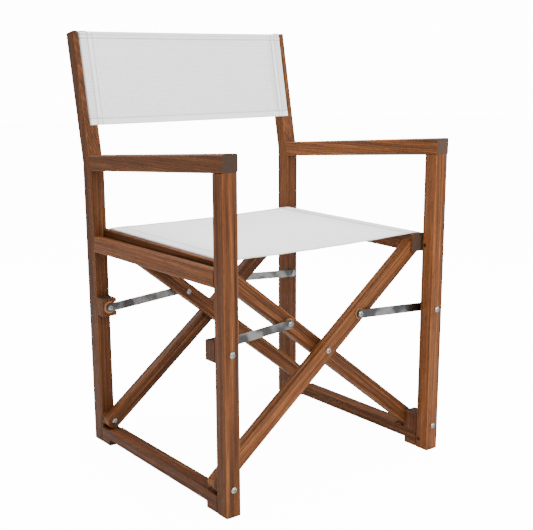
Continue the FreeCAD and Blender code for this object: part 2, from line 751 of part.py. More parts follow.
def swinging_frames():
    return [
        cross_bar("bar_front_near", 1, *FRONT_NEAR),
        cross_bar("bar_rear_near", 1, *REAR_NEAR),
        seat_rail(1),
        cross_bar("bar_front_far", -1, *FRONT_FAR),
        cross_bar("bar_rear_far", -1, *REAR_FAR),
        seat_rail(-1),
    ]


def links():
    return [
        link("link_front_left", -1, "leg_back_y + left_link_back"),
        link("link_rear_left", -1, "post_front_y - left_link_front"),
        link("link_front_right", 1, "leg_back_y + right_link_back"),
        link("link_rear_right", 1, "post_front_y - right_link_front"),
    ]


def pivot_hardware():
    """Bolts and spacers of the lower pivots and the crossings."""
    left = "-pivot_x"
    right = "pivot_x"
    left_bolts = [
        bolt("pivot_bolt_front_left", left, "front_y", "pivot_height",
             "leg_depth + near_bar_back", ("front", "rear")),
        bolt("pivot_bolt_rear_left", left, REAR_NEAR[0], "pivot_height",
             "near_bar_back + post_depth", ("front", "rear")),
    ]
    right_bolts = [
        bolt("pivot_bolt_front_right", right, "front_y", "pivot_height",
             "leg_depth + far_bar_back", ("front", "rear")),
        bolt("pivot_bolt_rear_right", right, REAR_FAR[0], "pivot_height",
             "far_bar_back + post_depth", ("front", "rear")),
    ]
    pivot_spacers = [
        ring("pivot_spacer_front", left, "leg_back_y", "pivot_height",
             "bar_width", "leg_gap - running_gap"),
        ring("pivot_spacer_rear", left, "post_front_y - leg_gap + running_gap", "pivot_height",
             "bar_width", "leg_gap - running_gap"),
    ]
    pair = "2 * bar_thickness + bar_gap"
    centre_bolts = [
        bolt("centre_bolt_front", 0, FRONT_NEAR[0], "cross_height", pair, ("front", "rear")),
        bolt("centre_bolt_rear", 0, REAR_FAR[0], "cross_height", pair, ("front", "rear")),
    ]
    centre_spacers = [
        ring("centre_spacer_front", 0, FRONT_NEAR[1], "cross_height",
             "disc_diameter", "bar_gap - running_gap"),
        ring("centre_spacer_rear", 0, f"{REAR_NEAR[0]} - bar_gap + running_gap", "cross_height",
             "disc_diameter", "bar_gap - running_gap"),
    ]
    return [
        group("pivot_bolts_left", left_bolts),
        group("pivot_bolts_right", right_bolts),
        group("pivot_spacers_left", pivot_spacers),
        group("centre_bolts", centre_bolts),
        group("centre_spacers", centre_spacers),
    ]


def link_frame_hardware():
    """Bolts, bushes and washers where the links meet the uprights."""
    left = "-pivot_x"
    right = "pivot_x"
    left_bolts = [
        bolt("link_bolt_front_left", left, "front_y", "link_height",
             "leg_depth + left_link_back + running_gap", ("front", "rear")),
        bolt("link_bolt_rear_left", left, "post_front_y - left_link_back - running_gap",
             "link_height", "left_link_back + running_gap + post_depth", ("front", "rear")),
    ]
    right_bolts = [
        bolt("link_bolt_front_right", right, "front_y", "link_height",
             "leg_depth + right_link_back + running_gap", ("front", "rear")),
        bolt("link_bolt_rear_right", right, "post_front_y - right_link_back - running_gap",
             "link_height", "right_link_back + running_gap + post_depth", ("front", "rear")),
    ]
    sunk = "link_block_depth - lip_depth"
    bush = f"bush_length - ({sunk})"
    bushes = [
        ring("link_bush_front", left, f"leg_back_y + {sunk}", "link_height", "bush_diameter", bush),
        ring("link_bush_rear", left, "post_front_y - bush_length", "link_height",
             "bush_diameter", bush),
    ]
    washer = "right_link_front - running_gap"
    washers = [
        ring("link_washer_front", right, "leg_back_y", "link_height", "link_width", washer),
        ring("link_washer_rear", right, f"post_front_y - ({washer})", "link_height",
             "link_width", washer),
    ]
    return [
        group("link_bolts_left", left_bolts),
        group("link_bolts_right", right_bolts),
        group("link_bushes_left", bushes),
        group("link_washers_right", washers),
    ]


def link_bar_hardware():
    """Bolts through the bars at the links' far ends, and what turns with each link there.

    Each far pivot is split at the bar's face: the shank in the bar stays with the bar, and the
    cap, its short shank and the disc stay with the link.
    """
    studs_right = [
        bolt("link_stud_front_right", "link_far_x", FRONT_NEAR[0], "link_far_z",
             "bar_thickness", ("rear",)),
        bolt("link_stud_rear_right", "link_far_x", REAR_NEAR[0], "link_far_z",
             "bar_thickness", ("front",)),
    ]
    studs_left = [
        bolt("link_stud_front_left", "-link_far_x", FRONT_FAR[0], "link_far_z",
             "bar_thickness", ("rear",)),
        bolt("link_stud_rear_left", "-link_far_x", REAR_FAR[0], "link_far_z",
             "bar_thickness", ("front",)),
    ]
    parts = [group("link_studs_right", studs_right), group("link_studs_left", studs_left)]
    left_disc = "disc_length - running_gap"
    right_disc = "leg_gap - right_link_back - running_gap"
    sides = (("left", "-link_far_x", "left_link_front", "left_link_back", left_disc),
             ("right", "link_far_x", "right_link_front", "right_link_back", right_disc))
    for name, x, near, far, disc in sides:
        shank = f"({far}) - ({near}) + {disc}"
        parts.append(bolt(f"link_cap_front_{name}", x, f"leg_back_y + {near}", "link_far_z",
                          shank, ("front",)))
        parts.append(ring(f"link_disc_front_{name}", x, f"leg_back_y + {far}", "link_far_z",
                          "disc_diameter", disc))
        parts.append(bolt(f"link_cap_rear_{name}", x, f"post_front_y - {near} - ({shank})",
                          "link_far_z", shank, ("rear",)))
        parts.append(ring(f"link_disc_rear_{name}", x, f"post_front_y - {far} - ({disc})",
                          "link_far_z", "disc_diameter", disc))
    return parts


def check_and_write(parts):
    """Stop on anything that failed to build, then write one STEP file for each sub-part."""
    for item in doc.Objects:
        if "Invalid" in item.State or "Error" in item.State:
            raise RuntimeError(f"{item.Name} failed: {item.State}")
    for item in parts:
        if item.Shape.isNull() or not item.Shape.isValid() or item.Shape.Volume <= 0:
            raise RuntimeError(f"{item.Label} has no valid shape")
    os.makedirs("parts", exist_ok=True)
    for item in parts:
        item.Shape.exportStep(f"parts/{item.Label}.step")
        print(f"{item.Label:26s} {item.Shape.Volume / 1000:9.2f} cm3, {len(item.Shape.Solids)} solid(s)")


sub_parts = side_frames() + swinging_frames() + links()
sub_parts += pivot_hardware() + link_frame_hardware() + link_bar_hardware()
sub_parts += [seat_sling(), back_sling()]
doc.recompute()
check_and_write(sub_parts)
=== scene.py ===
"""Finishes for a folding director chair: oiled hardwood, steel fittings, a white seat and mesh back."""
import math

import bpy
from bpy.props import FloatProperty, FloatVectorProperty, PointerProperty
from mathutils import Matrix, Vector


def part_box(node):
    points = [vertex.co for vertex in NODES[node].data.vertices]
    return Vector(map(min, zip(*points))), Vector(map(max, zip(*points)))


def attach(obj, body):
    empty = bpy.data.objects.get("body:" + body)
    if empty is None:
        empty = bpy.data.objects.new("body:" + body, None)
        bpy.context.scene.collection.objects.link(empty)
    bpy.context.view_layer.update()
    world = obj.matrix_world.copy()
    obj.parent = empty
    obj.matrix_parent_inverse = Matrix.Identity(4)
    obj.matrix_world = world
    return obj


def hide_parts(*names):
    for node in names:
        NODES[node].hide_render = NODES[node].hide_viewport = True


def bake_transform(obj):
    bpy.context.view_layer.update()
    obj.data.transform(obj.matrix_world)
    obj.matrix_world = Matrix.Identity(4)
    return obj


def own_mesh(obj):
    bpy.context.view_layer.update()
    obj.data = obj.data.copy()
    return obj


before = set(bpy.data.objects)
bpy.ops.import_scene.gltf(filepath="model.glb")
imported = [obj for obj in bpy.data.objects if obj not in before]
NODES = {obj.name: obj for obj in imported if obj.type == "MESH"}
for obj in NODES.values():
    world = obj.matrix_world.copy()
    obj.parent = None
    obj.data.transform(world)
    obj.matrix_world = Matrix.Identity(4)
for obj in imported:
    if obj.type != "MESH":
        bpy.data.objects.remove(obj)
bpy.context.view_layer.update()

bl_info = {
    "name": "Director chair",
    "version": (1, 0, 0),
    "blender": (4, 5, 0),
    "location": "3D View > Sidebar > Chair",
    "description": "Dresses a folding director chair with wood, steel and cloth",
    "category": "Object",
}

SEAT_LOW, SEAT_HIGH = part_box("seat_sling")
BACK_LOW, BACK_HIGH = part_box("back_sling")
NEAR_LOW, NEAR_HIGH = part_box("bar_front_near")

SEAT_BAND = 0.0285          # doubled cloth beside each seat rail
SEAT_HEM = 0.009            # turned hem at the front and rear of the seat
BACK_BAND_INSET = 0.0175    # outer edge of the back to its sewn band
BACK_TOP_FOLD = 0.0070      # single cloth above the upper hem of the back
FADE = 0.0006               # over which doubled cloth begins and ends


# ---------------------------------------------------------------------------------------------
# Sizes and colours
# ---------------------------------------------------------------------------------------------
class ChairTimber(bpy.types.PropertyGroup):
    """Oiled hardwood."""
    deep: FloatVectorProperty(
        name="Deep figure", description="Darkest bands of the wood's figure",
        default=(0.038, 0.0115, 0.0030), subtype="COLOR", min=0, max=1)
    body: FloatVectorProperty(
        name="Body", description="Main colour of the oiled wood",
        default=(0.150, 0.050, 0.0145), subtype="COLOR", min=0, max=1)
    light: FloatVectorProperty(
        name="Light figure", description="Palest bands of the wood's figure",
        default=(0.31, 0.123, 0.040), subtype="COLOR", min=0, max=1)
    end_grain: FloatVectorProperty(
        name="End grain", description="Sawn ends of the timbers",
        default=(0.070, 0.041, 0.028), subtype="COLOR", min=0, max=1)
    ring_pitch: FloatProperty(
        name="Ring pitch", description="Distance between growth rings",
        default=0.0034, unit="LENGTH", min=0.001, max=0.03)
    wear: FloatProperty(
        name="Edge wear", description="How far the rounded edges have paled",
        default=0.30, subtype="FACTOR", min=0, max=1)


class ChairMetal(bpy.types.PropertyGroup):
    """Stainless fittings."""
    polish: FloatVectorProperty(
        name="Steel", description="Colour of the polished steel",
        default=(0.42, 0.415, 0.41), subtype="COLOR", min=0, max=1)
    scratch_pitch: FloatProperty(
        name="Scratch pitch", description="Distance between fine polishing marks",
        default=0.0007, unit="LENGTH", min=0.0001, max=0.01)


class ChairCloth(bpy.types.PropertyGroup):
    """Slings."""
    white: FloatVectorProperty(
        name="Yarn", description="Colour of the white coated yarn",
        default=(0.93, 0.935, 0.94), subtype="COLOR", min=0, max=1)
    seat_pitch: FloatProperty(
        name="Seat yarn pitch", description="Distance between the yarns of the seat",
        default=0.0015, unit="LENGTH", min=0.0004, max=0.01)
    back_pitch: FloatProperty(
        name="Back yarn pitch", description="Distance between the yarns of the mesh back",
        default=0.0046, unit="LENGTH", min=0.0004, max=0.01)
    thickness: FloatProperty(
        name="Thickness", description="Thickness of both cloths",
        default=0.0008, unit="LENGTH", min=0.0003, max=0.004)
    seat_slope: FloatProperty(
        name="Seat slope", description="Rise of the seat to the rear",
        default=math.radians(0.9), unit="ROTATION", min=0, max=0.3)
    seat_sag: FloatProperty(
        name="Seat sag", description="How far the middle of the seat hangs below its rails",
        default=0.0035, unit="LENGTH", min=0, max=0.06)
    back_lean: FloatProperty(
        name="Back lean", description="Lean of the back from upright",
        default=math.radians(10.6), unit="ROTATION", min=0, max=0.6)
    back_bow: FloatProperty(
        name="Back bow", description="How far the middle of the back bows to the rear",
        default=0.0030, unit="LENGTH", min=0, max=0.06)
    hem: FloatProperty(
        name="Hem", description="Width of the turned hems",
        default=0.0135, unit="LENGTH", min=0.004, max=0.04)
    band: FloatProperty(
        name="Sewn band", description="Width of the bands beside the posts",
        default=0.0105, unit="LENGTH", min=0.004, max=0.04)
    tuck: FloatProperty(
        name="Tuck", description="Depth of a sling's edge in its groove",
        default=0.0060, unit="LENGTH", min=0, max=0.008)
    stitch_pitch: FloatProperty(
        name="Stitch pitch", description="Distance between stitches",
        default=0.0034, unit="LENGTH", min=0.001, max=0.02)
    stitch_length: FloatProperty(
        name="Stitch length", description="Length of one stitch",
        default=0.0025, unit="LENGTH", min=0.0005, max=0.02)
    thread: FloatProperty(
        name="Thread", description="Thickness of the sewing thread",
        default=0.00055, unit="LENGTH", min=0.0001, max=0.003)


class ChairStage(bpy.types.PropertyGroup):
    """Floor, lights and camera."""
    floor_radius: FloatProperty(
        name="Floor radius", description="Radius of the pale floor",
        default=14.0, unit="LENGTH", min=1, max=60)
    eye: FloatVectorProperty(
        name="Camera place", description="Where the camera stands",
        default=(-1.1804, -1.5494, 0.7877), subtype="TRANSLATION", unit="LENGTH")
    yaw: FloatProperty(
        name="Yaw", description="Camera's turn to the right of straight ahead",
        default=math.radians(36.01), unit="ROTATION")
    pitch: FloatProperty(
        name="Pitch", description="Camera's tilt above the horizon",
        default=math.radians(-12.785), unit="ROTATION")
    roll: FloatProperty(
        name="Roll", description="Camera's roll",
        default=math.radians(-0.656), unit="ROTATION")


# ---------------------------------------------------------------------------------------------
# Node trees
# ---------------------------------------------------------------------------------------------
class Tree:
    """Short words for making and joining nodes."""

    def __init__(self, tree):
        self.tree = tree

    def node(self, kind, **values):
        made = self.tree.nodes.new(kind)
        for key, value in values.items():
            setattr(made, key, value)
        return made

    def put(self, value, socket):
        if isinstance(value, bpy.types.NodeSocket):
            self.tree.links.new(value, socket)
        else:
            socket.default_value = value

    def math(self, operation, first, second=0.0, clamp=False):
        made = self.node("ShaderNodeMath", operation=operation, use_clamp=clamp)
        self.put(first, made.inputs[0])
        self.put(second, made.inputs[1])
        return made.outputs[0]

    def vector(self, operation, first, second=(0, 0, 0)):
        made = self.node("ShaderNodeVectorMath", operation=operation)
        self.put(first, made.inputs[0])
        self.put(second, made.inputs[1])
        return made.outputs["Value"] if operation == "LENGTH" else made.outputs["Vector"]

    def noise(self, place, scale, detail=2.0, roughness=0.5):
        made = self.node("ShaderNodeTexNoise")
        self.put(place, made.inputs["Vector"])
        self.put(scale, made.inputs["Scale"])
        made.inputs["Detail"].default_value = detail
        made.inputs["Roughness"].default_value = roughness
        return made.outputs["Fac"]

    def span(self, value, low, high, out_low=0.0, out_high=1.0):
        made = self.node("ShaderNodeMapRange")
        made.clamp = True
        made.interpolation_type = "SMOOTHSTEP"
        for name, number in (("Value", value), ("From Min", low), ("From Max", high),
                             ("To Min", out_low), ("To Max", out_high)):
            self.put(number, made.inputs[name])
        return made.outputs["Result"]

    def mix(self, amount, first, second, blend="MIX"):
        made = self.node("ShaderNodeMix", data_type="RGBA", blend_type=blend)
        made.clamp_factor = True
        self.put(amount, made.inputs["Factor"])
        for socket, value in ((made.inputs[6], first), (made.inputs[7], second)):
            self.put(value if isinstance(value, bpy.types.NodeSocket) else (*value, 1.0)[:4], socket)
        return made.outputs[2]

    def use(self, group, **values):
        made = self.node("ShaderNodeGroup")
        made.node_tree = group
        for name, value in values.items():
            self.put(value, made.inputs[name.replace("_", " ")])
        return made.outputs


def new_group(name, inputs, outputs):
    """A shader node group with named sockets; returns the group, its words and its two ends."""
    group = bpy.data.node_groups.new(name, "ShaderNodeTree")
    for label, kind, value in inputs:
        socket = group.interface.new_socket(label, in_out="INPUT", socket_type=kind)
        if value is not None:
            socket.default_value = value
    for label, kind in outputs:
        group.interface.new_socket(label, in_out="OUTPUT", socket_type=kind)
    words = Tree(group)
    return group, words, words.node("NodeGroupInput").outputs, words.node("NodeGroupOutput").inputs


def grain_group():
    """Growth rings, fibres and open pores of wood whose grain runs along the third axis."""
    group, t, given, out = new_group(
        "Wood grain",
        [("Place", "NodeSocketVector", None), ("Seed", "NodeSocketFloat", 0.0),
         ("Ring Pitch", "NodeSocketFloat", 0.005)],
        [("Figure", "NodeSocketFloat"), ("Fibre", "NodeSocketFloat"),
         ("Pores", "NodeSocketFloat"), ("Rings", "NodeSocketFloat")])
    shift = t.node("ShaderNodeCombineXYZ")
    for axis, share in (("X", 1.0), ("Y", 1.73), ("Z", 0.61)):
        t.put(t.math("MULTIPLY", given["Seed"], share), shift.inputs[axis])
    place = t.vector("ADD", given["Place"], shift.outputs["Vector"])
    drawn = t.vector("MULTIPLY", place, (1.0, 1.0, 0.09))
    wander = t.noise(drawn, 16.0, 2.0, 0.5)
    ripple = t.noise(drawn, 75.0, 2.0, 0.55)
    across = t.vector("LENGTH", t.vector("MULTIPLY", place, (1.0, 1.0, 0.0)))
    bent = t.math("ADD", across, t.math("MULTIPLY", wander, 0.022))
    bent = t.math("ADD", bent, t.math("MULTIPLY", ripple, 0.0022))
    turns = t.math("MULTIPLY", t.math("DIVIDE", bent, given["Ring Pitch"]), math.tau)
    wave = t.math("ADD", t.math("MULTIPLY", t.math("SINE", turns), 0.5), 0.5)
    rings = t.math("POWER", wave, 1.6)
    fibre = t.noise(t.vector("MULTIPLY", place, (1.0, 1.0, 0.022)), 620.0, 3.0, 0.62)
    streak = t.noise(t.vector("MULTIPLY", place, (1.0, 1.0, 0.018)), 150.0, 2.0, 0.5)
    pore_noise = t.noise(t.vector("MULTIPLY", place, (1.0, 1.0, 0.045)), 1050.0, 1.0, 0.5)
    pores = t.span(pore_noise, 0.60, 0.72)
    cloud = t.noise(drawn, 7.0, 1.0, 0.5)
    figure = t.math("ADD", t.math("MULTIPLY", rings, 0.13), t.math("MULTIPLY", streak, 0.78))
    figure = t.math("ADD", figure, t.math("MULTIPLY", cloud, 0.34))
    figure = t.math("ADD", figure, t.math("MULTIPLY", t.math("SUBTRACT", fibre, 0.5), 0.55))
    figure = t.math("SUBTRACT", figure, 0.12, clamp=True)
    t.put(figure, out["Figure"])
    t.put(fibre, out["Fibre"])
    t.put(pores, out["Pores"])
    t.put(rings, out["Rings"])
    return group


def wear_group():
    """Masks from which way a face points: rounded edges that have paled, and sawn ends."""
    group, t, given, out = new_group(
        "Edge wear",
        [("Facing", "NodeSocketVector", None), ("Place", "NodeSocketVector", None),
         ("Start", "NodeSocketFloat", 0.03), ("Full", "NodeSocketFloat", 0.22)],
        [("Edge", "NodeSocketFloat"), ("End", "NodeSocketFloat")])
    parts = t.node("ShaderNodeSeparateXYZ")
    t.put(t.vector("ABSOLUTE", given["Facing"]), parts.inputs[0])
    most = t.math("MAXIMUM", t.math("MAXIMUM", parts.outputs[0], parts.outputs[1]), parts.outputs[2])
    turned = t.span(t.math("SUBTRACT", 1.0, most), given["Start"], given["Full"])
    patchy = t.span(t.noise(given["Place"], 90.0, 3.0, 0.6), 0.30, 0.66, 0.35, 1.0)
    t.put(t.math("MULTIPLY", turned, patchy), out["Edge"])
    t.put(t.span(parts.outputs[2], 0.93, 0.985), out["End"])
    return group


def weave_group():
    """Plain weave on a cloth's own lengthwise and crosswise distances."""
    group, t, given, out = new_group(
        "Cloth weave",
        [("Cloth Place", "NodeSocketVector", None), ("Pitch", "NodeSocketFloat", 0.0015)],
        [("Height", "NodeSocketFloat"), ("Gap", "NodeSocketFloat"), ("Slub", "NodeSocketFloat")])
    parts = t.node("ShaderNodeSeparateXYZ")
    t.put(given["Cloth Place"], parts.inputs[0])
    waves = []
    for index in (0, 1):
        angle = t.math("MULTIPLY", t.math("DIVIDE", parts.outputs[index], given["Pitch"]), math.pi)
        waves.append(t.math("SINE", angle))
    crown = [t.math("ABSOLUTE", wave) for wave in waves]
    over = t.math("ADD", t.math("MULTIPLY", t.math("MULTIPLY", *waves), 0.5), 0.5)
    yarn = t.math("MAXIMUM", *crown)
    t.put(t.math("MULTIPLY", yarn, t.math("ADD", t.math("MULTIPLY", over, 0.5), 0.5)), out["Height"])
    t.put(t.math("SUBTRACT", 1.0, t.span(yarn, 0.42, 0.66)), out["Gap"])
    long = t.vector("MULTIPLY", given["Cloth Place"], (60.0, 900.0, 1.0))
    cross = t.vector("MULTIPLY", given["Cloth Place"], (900.0, 60.0, 1.0))
    t.put(t.math("MULTIPLY", t.math("ADD", t.noise(long, 1.0), t.noise(cross, 1.0)), 0.5), out["Slub"])
    return group


def dust_group():
    """Uneven handling marks and settled dust, soft and broad."""
    group, t, given, out = new_group(
        "Handling marks",
        [("Place", "NodeSocketVector", None), ("Size", "NodeSocketFloat", 18.0)],
        [("Mask", "NodeSocketFloat")])
    broad = t.noise(given["Place"], given["Size"], 4.0, 0.62)
    fine = t.noise(given["Place"], t.math("MULTIPLY", given["Size"], 9.0), 2.0, 0.5)
    t.put(t.span(t.math("ADD", t.math("MULTIPLY", broad, 0.75), t.math("MULTIPLY", fine, 0.25)), 0.36, 0.68),
          out["Mask"])
    return group


def shared_group(name):
    """One of the shared effects, built the first time it is asked for."""
    makers = {"Wood grain": grain_group, "Edge wear": wear_group, "Cloth weave": weave_group,
              "Handling marks": dust_group}
    return bpy.data.node_groups.get(name) or makers[name]()


def new_material(name):
    """An empty material with its surface shader; returns material, words, shader inputs."""
    material = bpy.data.materials.new(name)
    material.use_nodes = True
    words = Tree(material.node_tree)
    material.node_tree.nodes.clear()
    shader = words.node("ShaderNodeBsdfPrincipled")
    end = words.node("ShaderNodeOutputMaterial")
    words.tree.links.new(shader.outputs[0], end.inputs["Surface"])
    return material, words, shader.inputs


def bump(t, height, strength, distance):
    made = t.node("ShaderNodeBump")
    made.inputs["Strength"].default_value = strength
    made.inputs["Distance"].default_value = distance
    t.put(height, made.inputs["Height"])
    return made.outputs[0]


def wood_material(name, turn, seed, tint=1.0, figure=1.0, pegs=False):
    """Oiled hardwood; turn lays the grain along the timber, seed picks the board it is cut from."""
    look = bpy.context.scene.chair_timber
    material, t, shader = new_material(name)
    source = t.node("ShaderNodeTexCoord")
    place = t.node("ShaderNodeMapping", vector_type="POINT")
    facing = t.node("ShaderNodeMapping", vector_type="VECTOR")
    t.put(source.outputs["Object"], place.inputs["Vector"])
    t.put(source.outputs["Normal"], facing.inputs["Vector"])
    for mapping in (place, facing):
        mapping.inputs["Rotation"].default_value = turn
    grain = t.use(shared_group("Wood grain"), Place=place.outputs[0], Seed=seed, Ring_Pitch=look.ring_pitch)
    worn = t.use(shared_group("Edge wear"), Facing=facing.outputs[0], Place=place.outputs[0],
                 Start=0.03, Full=0.20)
    marks = t.use(shared_group("Handling marks"), Place=place.outputs[0], Size=16.0)
    ramp = t.node("ShaderNodeValToRGB")
    lively = t.math("MULTIPLY", t.math("SUBTRACT", grain["Figure"], 0.5), figure)
    t.put(t.math("ADD", lively, 0.5, clamp=True), ramp.inputs[0])
    shades = [Vector(look.deep), Vector(look.body) * 0.62, Vector(look.body), Vector(look.light)]
    stops = ramp.color_ramp.elements
    for place_at in (0.44, 0.60):
        stops.new(place_at)
    for stop, place_at, shade in zip(stops, (0.22, 0.42, 0.58, 0.86), shades):
        stop.position = place_at
        stop.color = (*(shade * tint), 1.0)
    colour = t.mix(t.math("MULTIPLY", grain["Pores"], 0.55), ramp.outputs[0],
                   Vector(look.deep) * 0.75, "MIX")
    colour = t.mix(t.math("MULTIPLY", marks["Mask"], 0.20), colour, Vector(look.body) * 0.55)
    colour = t.mix(t.math("MULTIPLY", worn["Edge"], look.wear), colour, Vector(look.light) * (tint * 1.15))
    ends = t.mix(t.math("MULTIPLY", grain["Rings"], 0.6), Vector(look.end_grain) * tint,
                 Vector(look.end_grain) * (0.45 * tint))
    ends = t.mix(t.math("MULTIPLY", grain["Pores"], 0.5), ends, Vector(look.deep) * 0.6)
    colour = t.mix(worn["End"], colour, ends)
    if pegs:
        colour = t.mix(0.75, colour, Vector(look.deep) * 0.5)
    t.put(colour, shader["Base Color"])
    rough = t.math("ADD", 0.42, t.math("MULTIPLY", grain["Fibre"], 0.16))
    rough = t.math("ADD", rough, t.math("MULTIPLY", marks["Mask"], 0.10))
    rough = t.math("ADD", rough, t.math("MULTIPLY", worn["End"], 0.22), clamp=True)
    t.put(rough, shader["Roughness"])
    relief = t.math("SUBTRACT", t.math("MULTIPLY", grain["Fibre"], 0.55), t.math("MULTIPLY", grain["Pores"], 0.8))
    relief = t.math("ADD", relief, t.math("MULTIPLY", grain["Rings"], 0.25))
    t.put(bump(t, relief, 0.45, 0.0006), shader["Normal"])
    shader["Specular IOR Level"].default_value = 0.14
    return material


def pale_wood_material(name):
    """Plain turned wood of the small round spacers."""
    look = bpy.context.scene.chair_timber
    material, t, shader = new_material(name)
    source = t.node("ShaderNodeTexCoord")
    grain = t.use(shared_group("Wood grain"), Place=source.outputs["Object"], Seed=4.4, Ring_Pitch=0.0021)
    marks = t.use(shared_group("Handling marks"), Place=source.outputs["Object"], Size=60.0)
    colour = t.mix(grain["Figure"], Vector(look.light) * 0.72, Vector(look.light) * 1.15)
    colour = t.mix(t.math("MULTIPLY", marks["Mask"], 0.45), colour, Vector(look.body) * 0.7)
    t.put(colour, shader["Base Color"])
    t.put(t.math("ADD", 0.50, t.math("MULTIPLY", grain["Fibre"], 0.2)), shader["Roughness"])
    t.put(bump(t, grain["Fibre"], 0.4, 0.0004), shader["Normal"])
    return material


def steel_material(name, turn, bright, dark):
    """Polished stainless with fine marks along the piece; bright scales its colour, dark its dull bands."""
    look = bpy.context.scene.chair_metal
    polish = Vector(look.polish) * bright
    material, t, shader = new_material(name)
    source = t.node("ShaderNodeTexCoord")
    place = t.node("ShaderNodeMapping", vector_type="POINT")
    place.inputs["Rotation"].default_value = turn
    t.put(source.outputs["Object"], place.inputs["Vector"])
    drawn = t.vector("MULTIPLY", place.outputs[0], (1.0, 1.0, 0.03))
    lines = t.noise(drawn, 1.0 / look.scratch_pitch, 3.0, 0.6)
    marks = t.use(shared_group("Handling marks"), Place=place.outputs[0], Size=70.0)
    colour = t.mix(t.math("MULTIPLY", lines, 0.5), polish, polish * 0.72)
    colour = t.mix(t.math("MULTIPLY", marks["Mask"], 0.25), colour, polish * 0.55)
    broad = t.noise(t.vector("MULTIPLY", source.outputs["Object"], (1.0, 0.4, 1.0)), 26.0, 1.0)
    bands = t.span(broad, 0.40, 0.58)
    colour = t.mix(t.math("MULTIPLY", bands, dark), colour, polish * 0.13)
    t.put(colour, shader["Base Color"])
    shader["Metallic"].default_value = 1.0
    rough = t.math("ADD", 0.16, t.math("MULTIPLY", lines, 0.16))
    t.put(t.math("ADD", rough, t.math("MULTIPLY", marks["Mask"], 0.14)), shader["Roughness"])
    t.put(bump(t, lines, 0.12, 0.0002), shader["Normal"])
    return material


def cloth_material(name, pitch, single_shade, gap_shade, see_through):
    """White woven sling. The hem attribute marks doubled cloth, which is whiter and lets nothing through."""
    look = bpy.context.scene.chair_cloth
    material, t, shader = new_material(name)
    own = t.node("ShaderNodeUVMap", uv_map="cloth")
    hem = t.node("ShaderNodeAttribute", attribute_name="hem").outputs["Fac"]
    weave = t.use(shared_group("Cloth weave"), Cloth_Place=own.outputs[0], Pitch=pitch)
    marks = t.use(shared_group("Handling marks"), Place=own.outputs[0], Size=7.0)
    seam = t.node("ShaderNodeAttribute", attribute_name="seam").outputs["Fac"]
    single = t.math("SUBTRACT", 1.0, t.math("MULTIPLY", hem, 0.85))
    gaps = t.math("MULTIPLY", weave["Gap"], single)
    ground = t.mix(hem, Vector(look.white) * single_shade, Vector(look.white))
    colour = t.mix(t.math("MULTIPLY", gaps, 0.85), ground, gap_shade)
    colour = t.mix(t.math("MULTIPLY", seam, 0.80), colour, (0.30, 0.31, 0.32))
    colour = t.mix(t.span(weave["Slub"], 0.42, 0.64, 0.0, 0.16), colour, Vector(look.white) * 0.80)
    colour = t.mix(t.math("MULTIPLY", marks["Mask"], 0.07), colour, (0.62, 0.60, 0.55))
    t.put(colour, shader["Base Color"])
    t.put(t.math("ADD", 0.62, t.math("MULTIPLY", weave["Slub"], 0.18)), shader["Roughness"])
    t.put(bump(t, weave["Height"], 0.55, 0.0005), shader["Normal"])
    if see_through > 0:
        t.put(t.math("SUBTRACT", 1.0, t.math("MULTIPLY", gaps, see_through)), shader["Alpha"])
    shader["Sheen Weight"].default_value = 0.25
    shader["Sheen Roughness"].default_value = 0.5
    shader["Specular IOR Level"].default_value = 0.35
    return material


def thread_material():
    """Twisted white sewing thread."""
    material, t, shader = new_material("sewing_thread")
    source = t.node("ShaderNodeTexCoord")
    twist = t.noise(source.outputs["Object"], 2600.0, 2.0, 0.5)
    t.put(t.mix(twist, (0.70, 0.71, 0.72), (0.93, 0.93, 0.93)), shader["Base Color"])
    t.put(t.math("ADD", 0.5, t.math("MULTIPLY", twist, 0.25)), shader["Roughness"])
    t.put(bump(t, twist, 0.5, 0.0002), shader["Normal"])
    return material


def dress(names, material):
    """Give CAD nodes a finish, leaving their shape alone."""
    for name in names:
        piece = NODES[name]
        if not piece.data.materials:
            piece.data.materials.append(material)
        for holder in piece.material_slots:
            holder.material = material


